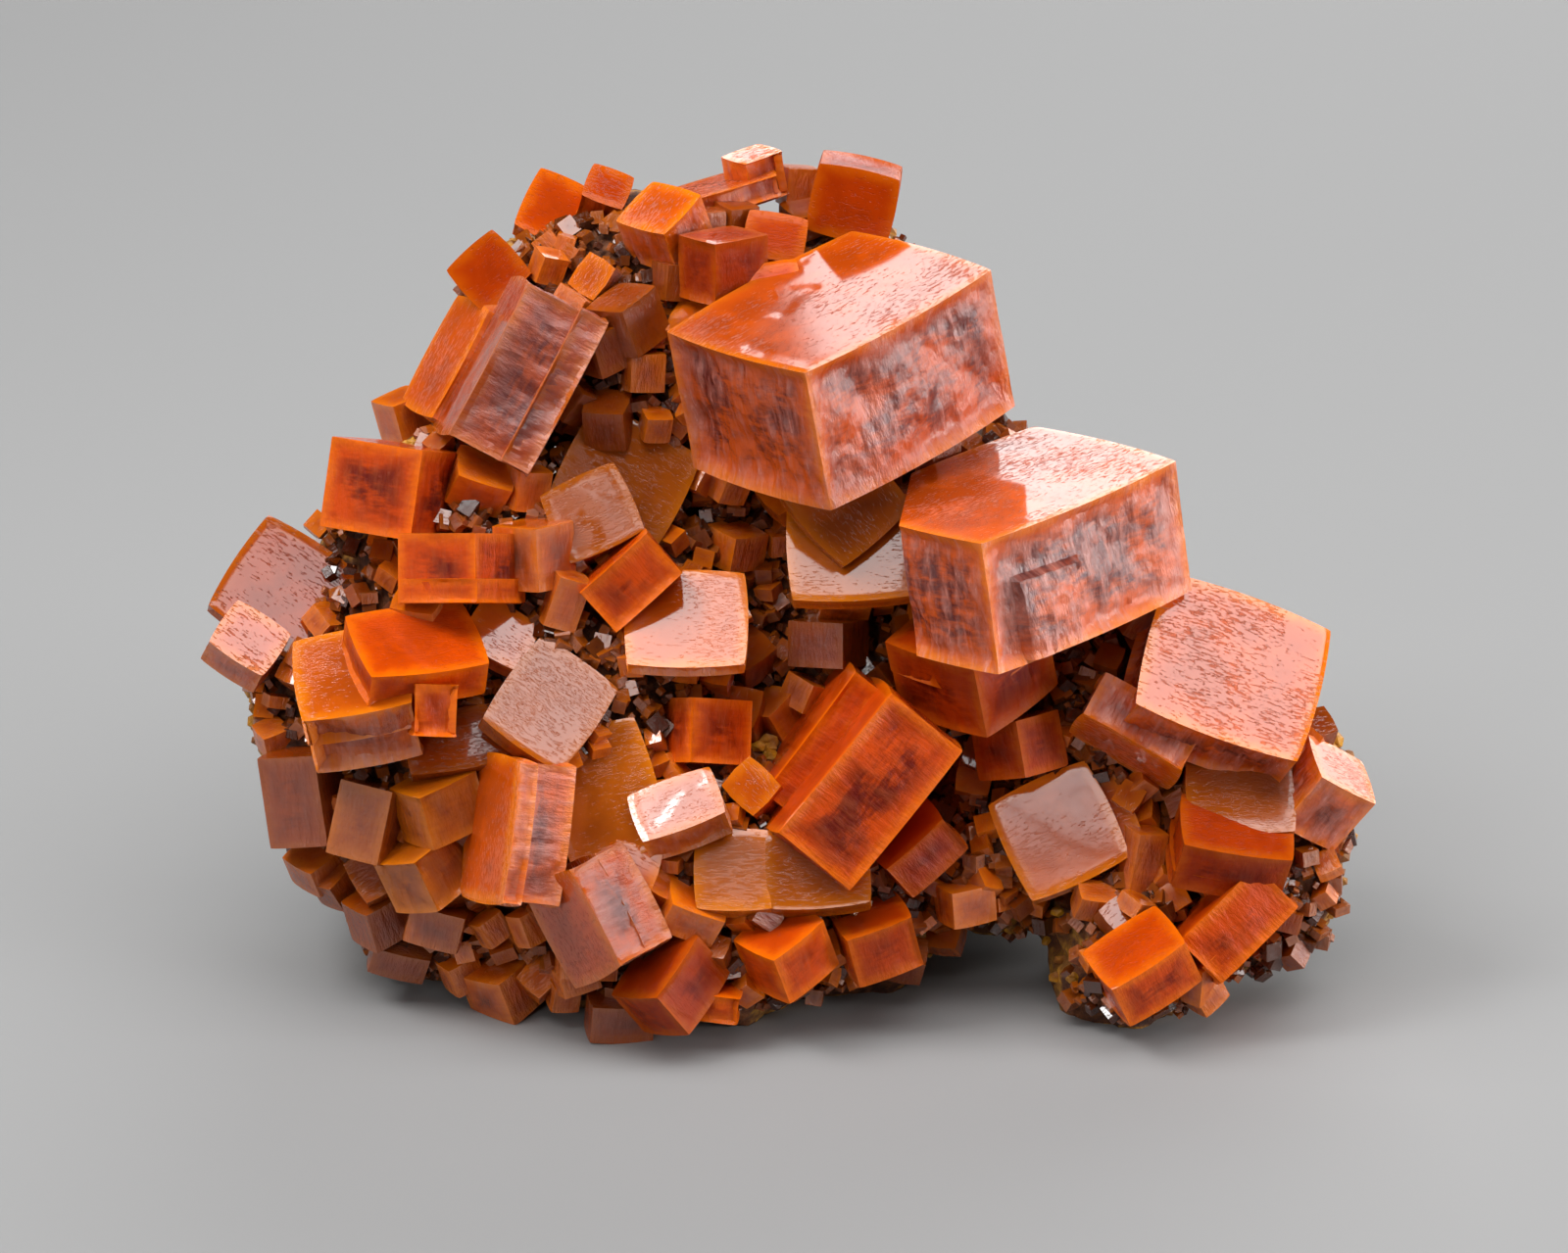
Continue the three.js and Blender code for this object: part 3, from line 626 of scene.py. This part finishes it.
def side_depth(point, unit, face_axis, seed, rough_side, raised):
    """How far a point of a side face lies in: its hackles fade towards the edges."""
    across_face = abs(unit[1 - face_axis])
    fade = min(1, 5 * (1 - abs(unit.z))) * min(1, 0.15 + 6 * (1 - across_face))
    depth = rough_side * hackle(point, seed) * fade
    if raised and face_axis == raised[0] and unit[face_axis] * raised[1] > 0:
        depth -= raised_slab(unit[1 - face_axis], unit.z, raised)
    return depth


def terrace_depth(point, unit, thin, seed):
    """How far a point of a square face lies in."""
    step = abs(round(1.8 * noise.noise(Vector((point.x * 0.16 + seed, point.y * 0.16, seed)))))
    fade = min(1, 6 * (1 - max(abs(unit.x), abs(unit.y))))
    terrace = THIN_TERRACE if thin else THICK_TERRACE
    return terrace * (1 + step) * fade


def crystal_shape(half, seed, cell, rough_side, raised=None):
    """One crystal in millimetres about its own middle, with the attributes that its finish reads."""
    shape = bmesh.new()
    place_layer = shape.verts.layers.float_vector.new("place")
    half_layer = shape.verts.layers.float_vector.new("half")
    square_layer = shape.faces.layers.float.new("square")
    shade_layer = shape.verts.layers.float.new("shade")
    offset_layer = shape.verts.layers.float_vector.new("offset")
    gridded_box(shape, half, cell)
    for face in shape.faces:
        face[square_layer] = 1.0 if abs(face.calc_center_median().z) > ON_FACE else 0.0
    hx, hy, hz = half
    shade = 0.5 + 0.5 * math.sin(12.9 * seed)
    worn = min(WORN, 0.2 * min(half))
    inner = Vector(half) - Vector((worn, worn, worn))
    for vert in shape.verts:
        unit = vert.co.copy()
        point = Vector((unit.x * hx, unit.y * hy, unit.z * hz))
        core = Vector(max(-limit, min(limit, value)) for value, limit in zip(point, inner))
        out = point - core
        if out.length > worn:
            point = core + out.normalized() * worn
        bow_x = EDGE_BOW * 2 * hy * (1 - unit.y ** 2) * unit.x
        bow_y = EDGE_BOW * 2 * hx * (1 - unit.x ** 2) * unit.y
        moved = point + Vector((bow_x, bow_y, 0))
        past_side = max(abs(unit.x), abs(unit.y)) > ON_FACE
        past_square = abs(unit.z) > ON_FACE
        if past_side and not past_square:
            face_axis = 0 if abs(unit.x) > ON_FACE else 1
            depth = side_depth(point, unit, face_axis, seed, rough_side, raised)
            moved[face_axis] -= depth * math.copysign(1, unit[face_axis])
        if past_square and not past_side:
            moved.z -= terrace_depth(point, unit, hz <= THIN, seed) * math.copysign(1, unit.z)
        vert.co = moved
        vert[place_layer] = point
        vert[half_layer] = half
        vert[shade_layer] = shade
        vert[offset_layer] = Vector((seed * 17.3, seed * 5.1, seed * 9.7))
    return shape


def crystal_turn(across, up, out, clock, tip, spin):
    turn = Matrix.Rotation(math.radians(-clock), 4, "Z")
    turn @= Matrix.Rotation(math.radians(tip - 90), 4, "X")
    turn @= Matrix.Rotation(math.radians(spin), 4, "Z")
    return show_face @ Matrix.Translation(Vector((across, up, out)) * MM) @ turn


# The crystals grown so far, each as the way into its own axes and its half measures
rooms = []


def crowded(spot, margin):
    """Whether a place lies in one of the crystals grown so far, or nearer to it than the margin."""
    for to_local, half in rooms:
        local = to_local @ spot / MM
        if all(abs(value) < limit + margin for value, limit in zip(local, half)):
            return True
    return False


def place_crystal(target, row, seed, cell, rough_side, keeps_room=True, raised=None, shift=(0, 0, 0)):
    """Shapes one crystal, cuts its corner where a neighbour kept it off, and sets it on the rock."""
    (across, up, out), (edge_a, edge_b, thick, *nip), (clock, tip, spin) = row
    half = (edge_a / 2, edge_b / 2, thick / 2)
    shape = crystal_shape(half, seed, cell, rough_side, raised)
    if nip:
        keep_a, keep_b = nip[0]
        on_back = Vector((half[0] - 2 * half[0] * keep_a, half[1], 0))
        on_left = Vector((-half[0], 2 * half[1] * keep_b - half[1], 0))
        along = on_back - on_left
        every = shape.verts[:] + shape.edges[:] + shape.faces[:]
        cut = bmesh.ops.bisect_plane(shape, geom=every, plane_co=on_back,
                                     plane_no=(-along.y, along.x, 0), clear_outer=True)["geom_cut"]
        bmesh.ops.holes_fill(shape, edges=[piece for piece in cut if isinstance(piece, bmesh.types.BMEdge)])
    bmesh.ops.translate(shape, vec=shift, verts=shape.verts)
    bmesh.ops.scale(shape, vec=(MM, MM, MM), verts=shape.verts)
    turn = crystal_turn(across, up, crust_out(across, up) + out, clock, tip, spin)
    bmesh.ops.transform(shape, matrix=turn, verts=shape.verts)
    if keeps_room:
        rooms.append((turn.inverted(), half))
    carrier = bpy.data.meshes.new("carrier")
    shape.to_mesh(carrier)
    target.from_mesh(carrier)
    bpy.data.meshes.remove(carrier)
    shape.free()

# %% [markdown]
# ## The named crystals
# Every crystal of one name is grown together with the others of that name, so they share a piece.
# Some blocks have a growth step, and one has a slab raised on its side.

# %% Grow the named crystals
FIRST_SEED, NEXT_SEED = 1, 0.37
# A slab on a side face: axis and side of the face, start, end and top, foot of the slant, thickness
RAISED_SLABS = {"second_block_crystal": (1, -1, -0.70, -0.12, 0.25, -0.52, 0.8)}
names = list(dict.fromkeys(row[0] for row in CRYSTALS))
ROUGH_SIDES = {"rose": 1.15, "orange": 0.45, "caramel": 0.15}
STEPPED = ("ridged_brick_crystal", "barrel_crystals", "tall_edge_crystal", "foot_barrel_crystals",
           "left_block_crystal", "lower_block_crystals", "leaning_block_crystal")
SMOOTH_FACED = ("grey_plate_crystal", "round_plate_crystals", "white_faced_crystal", "left_block_crystal")
chance = random.Random(5)


def growth_step(target, row, seed, rough_side):
    """A slab that grew a little further than the rest of its block, so that the sides are stepped."""
    middle, (edge_a, edge_b, thick), turn = row
    share = chance.uniform(0.3, 0.5)
    lift = chance.choice((-0.5, 0.5)) * (1 - share) * thick * 0.96
    size = (edge_a + 0.1, edge_b + 0.1, share * thick)
    shift = (chance.uniform(-0.25, 0.25), chance.uniform(-0.25, 0.25), lift)
    place_crystal(target, (middle, size, turn), seed, FINEST, rough_side, False, shift=shift)


for name in names:
    group = bmesh.new()
    rows = [row for row in CRYSTALS if row[0] == name]
    for _, *row, slot in rows:
        seed = FIRST_SEED + NEXT_SEED * CRYSTALS.index([name, *row, slot])
        place_crystal(group, row, seed, FINEST, ROUGH_SIDES[slot], raised=RAISED_SLABS.get(name))
        if name in STEPPED:
            growth_step(group, row, seed, ROUGH_SIDES[slot])
    look = "plate" if name in SMOOTH_FACED else rows[0][4]
    finish_piece(group, name + "_grown", rows[0][4], name, finish=look)

# %% [markdown]
# ## The crust
# Between the large crystals the rock is crowded with blocks of 1 to 4 mm and, in the hollows, with
# a sparkling druse. The listed ones come first. The others are scattered by seeded chance over
# the show face: a ray finds the rock behind each place, and big ones are refused under big neighbours.

# %% Grow the crust crystals
CRUST_SEED, NEXT_CRUST_SEED = 40, 0.53
CRUST_CELL = 0.5
CRUST_ROUGH_SIDE = 0.15
SCATTER_SEED, NEXT_SCATTER_SEED = 90, 0.31
SCATTER_ROUGH_SIDE = 0.05
crust = bmesh.new()
for index, row in enumerate(CRUST_CRYSTALS):
    place_crystal(crust, row, CRUST_SEED + NEXT_CRUST_SEED * index, CRUST_CELL, CRUST_ROUGH_SIDE)
chance = random.Random(11)


def scatter(target, tries, low, high, out_share, cell, spacing, rim_share):
    """Small blocks at seeded places, turned every way, where no larger crystal stands already."""
    grown = 0
    for index in range(tries):
        across, up = chance.uniform(-49, 50), chance.uniform(-2, 78)
        hit = crust_tree.ray_cast(at_face(across, up, FAR_OUT), INWARDS)
        edge = low + (high - low) * chance.random() ** 2
        if not hit[0] or hit[0].z < (1.0 + 0.6 * edge) * MM or hit[1].dot(-INWARDS) < rim_share:
            continue
        if crowded(hit[0] - INWARDS * out_share * edge * MM, spacing * edge):
            continue
        size = (edge, edge * chance.uniform(0.85, 1.1), edge * chance.uniform(0.5, 1.1))
        turn = (chance.uniform(-60, 60), chance.uniform(5, 80), chance.uniform(0, 90))
        seed = SCATTER_SEED + NEXT_SCATTER_SEED * index
        row = ((across, up, out_share * edge), size, turn)
        place_crystal(target, row, seed, cell, SCATTER_ROUGH_SIDE, keeps_room=spacing > 0)
        grown += 1
    print("scattered", grown)


scatter(crust, 1300, low=1.8, high=4.4, out_share=0.28, cell=1.5, spacing=0.12, rim_share=0.58)
rest_flat(crust)
finish_piece(crust, "crust_crystals", "orange", "matrix", finish="crust")
# The druse's dark finish is partly its own dark brown and partly painted shade in the hollows between the
# crystals.
druse_and_painted_shade = bmesh.new()
scatter(druse_and_painted_shade, 14000, low=0.5, high=1.7, out_share=0.25, cell=3.0, spacing=0, rim_share=0.5)
finish_piece(druse_and_painted_shade, "druse_and_painted_shade", "caramel", "matrix", finish="druse_and_painted_shade")

# %% [markdown]
# ## Yellow grains on the rims
# Where the rock turns away from the show side it is crusted with brassy yellow grains. Each is a small
# icosphere, squashed and turned, because angular grains need few faces.

# %% Scatter the grains
RIM_FACING = (0.02, 0.5)


def scatter_grains(tries):
    grains = bmesh.new()
    grown = 0
    for _ in range(tries):
        across, up = chance.uniform(-49, 50), chance.uniform(-3, 78)
        hit = crust_tree.ray_cast(at_face(across, up, FAR_OUT), INWARDS)
        size = chance.uniform(0.35, 1.0)
        facing = hit[1].dot(-INWARDS) if hit[0] else 1
        if not RIM_FACING[0] < facing < RIM_FACING[1] or hit[0].z < (1 + size) * MM:
            continue
        spot = hit[0] + hit[1] * broken(hit[0])
        if crowded(spot, 0.1):
            continue
        verts = bmesh.ops.create_icosphere(grains, subdivisions=1, radius=size * MM)["verts"]
        squash = (chance.uniform(0.7, 1.2), chance.uniform(0.7, 1.2), chance.uniform(0.5, 1))
        bmesh.ops.scale(grains, vec=squash, verts=verts)
        turn = Matrix.Rotation(chance.uniform(0, math.tau), 4, chance.choice("XYZ"))
        bmesh.ops.transform(grains, matrix=Matrix.Translation(spot) @ turn, verts=verts)
        grown += 1
    print("grains", grown)
    return grains


finish_piece(scatter_grains(9000), "ochre_grains", "rock", "matrix", smooth=math.radians(20), finish="ochre")

# %% [markdown]
# ## Floor, light and camera
# The picture is a studio one: soft light from a big panel behind and above, which whitens the square
# faces up to a sharp border, one from the right for the rose sheen on the sides, and a long lens that
# looks down 25 degrees. The right panel's spread is narrowed, so that it doesn't burn out the floor.

# %% Stage and camera
PHOTO_MIDDLE_UP = 35.9
VIEW_WIDTH = 133.3
LENS = 200
SENSOR = 36
FLOOR_HALF = 3
FLOOR_GREY = 0.28
# Across, up and out in millimetres, size in metres, power in watts, and the spread if it is narrowed
PANELS = {
    "back_panel": (180, 420, -330, (0.55, 0.42), 2.4),
    "top_panel": (60, 400, 260, (0.54, 0.28), 1.8),
    "key_panel": (-280, 380, 200, (0.22, 0.22), 1.8),
    "front_panel": (10, 275, 700, (0.30, 0.09), 0.22),
    "right_panel": (360, 30, 60, (0.28, 0.26), 0.62, 100),
    "left_fill": (-420, 60, 240, (0.30, 0.30), 0.25),
    "low_fill": (-270, 20, 560, (0.20, 0.10), 0.45),
}


def add_panel(name, across, up, out, size, power, spread=180):
    """A soft panel, placed from the middle of the specimen in view axes and aimed at it."""
    light = bpy.data.lights.new(name, "AREA")
    light.shape, light.size, light.size_y = "RECTANGLE", *size
    light.energy, light.spread = power, math.radians(spread)
    panel = bpy.data.objects.new(name, light)
    panel.location = at_face(across, up, out)
    behind = (panel.location - at_face(0, PHOTO_MIDDLE_UP, 0)).normalized()
    level = (Vector((1, 0, 0)) - behind * behind.x).normalized()
    turn = Matrix((level, behind.cross(level), behind)).transposed()
    panel.rotation_mode = "QUATERNION"
    panel.rotation_quaternion = turn.to_quaternion()
    bpy.context.scene.collection.objects.link(panel)


floor_shape = bmesh.new()
bmesh.ops.create_grid(floor_shape, x_segments=2, y_segments=2, size=FLOOR_HALF)
floor_mesh = bpy.data.meshes.new("floor")
floor_shape.to_mesh(floor_mesh)
floor = bpy.data.objects.new("floor", floor_mesh)
bpy.context.scene.collection.objects.link(floor)
floor_material = bpy.data.materials.new("floor")
floor_material.use_nodes = True
floor_shader = floor_material.node_tree.nodes["Principled BSDF"]
floor_shader.inputs["Base Color"].default_value = (FLOOR_GREY, FLOOR_GREY, FLOOR_GREY, 1)
floor_shader.inputs["Roughness"].default_value = 0.8
floor_mesh.materials.append(floor_material)

for name, row in PANELS.items():
    add_panel(name, *row)
world = bpy.data.worlds.new("studio")
world.use_nodes = True
world.node_tree.nodes["Background"].inputs["Color"].default_value = (0.8, 0.8, 0.82, 1)
world.node_tree.nodes["Background"].inputs["Strength"].default_value = 0.03
bpy.context.scene.world = world

camera_data = bpy.data.cameras.new("camera")
camera_data.lens, camera_data.sensor_width = LENS, SENSOR
camera_data.clip_start, camera_data.clip_end = 0.05, 20
camera = bpy.data.objects.new("camera", camera_data)
target = at_face(0, PHOTO_MIDDLE_UP, 0)
camera.location = target - INWARDS * (LENS / SENSOR * VIEW_WIDTH * MM)
camera.rotation_mode = "QUATERNION"
camera.rotation_quaternion = INWARDS.to_track_quat("-Z", "Y")
bpy.context.scene.collection.objects.link(camera)
bpy.context.scene.camera = camera
bpy.context.scene.view_settings.view_transform = "Standard"
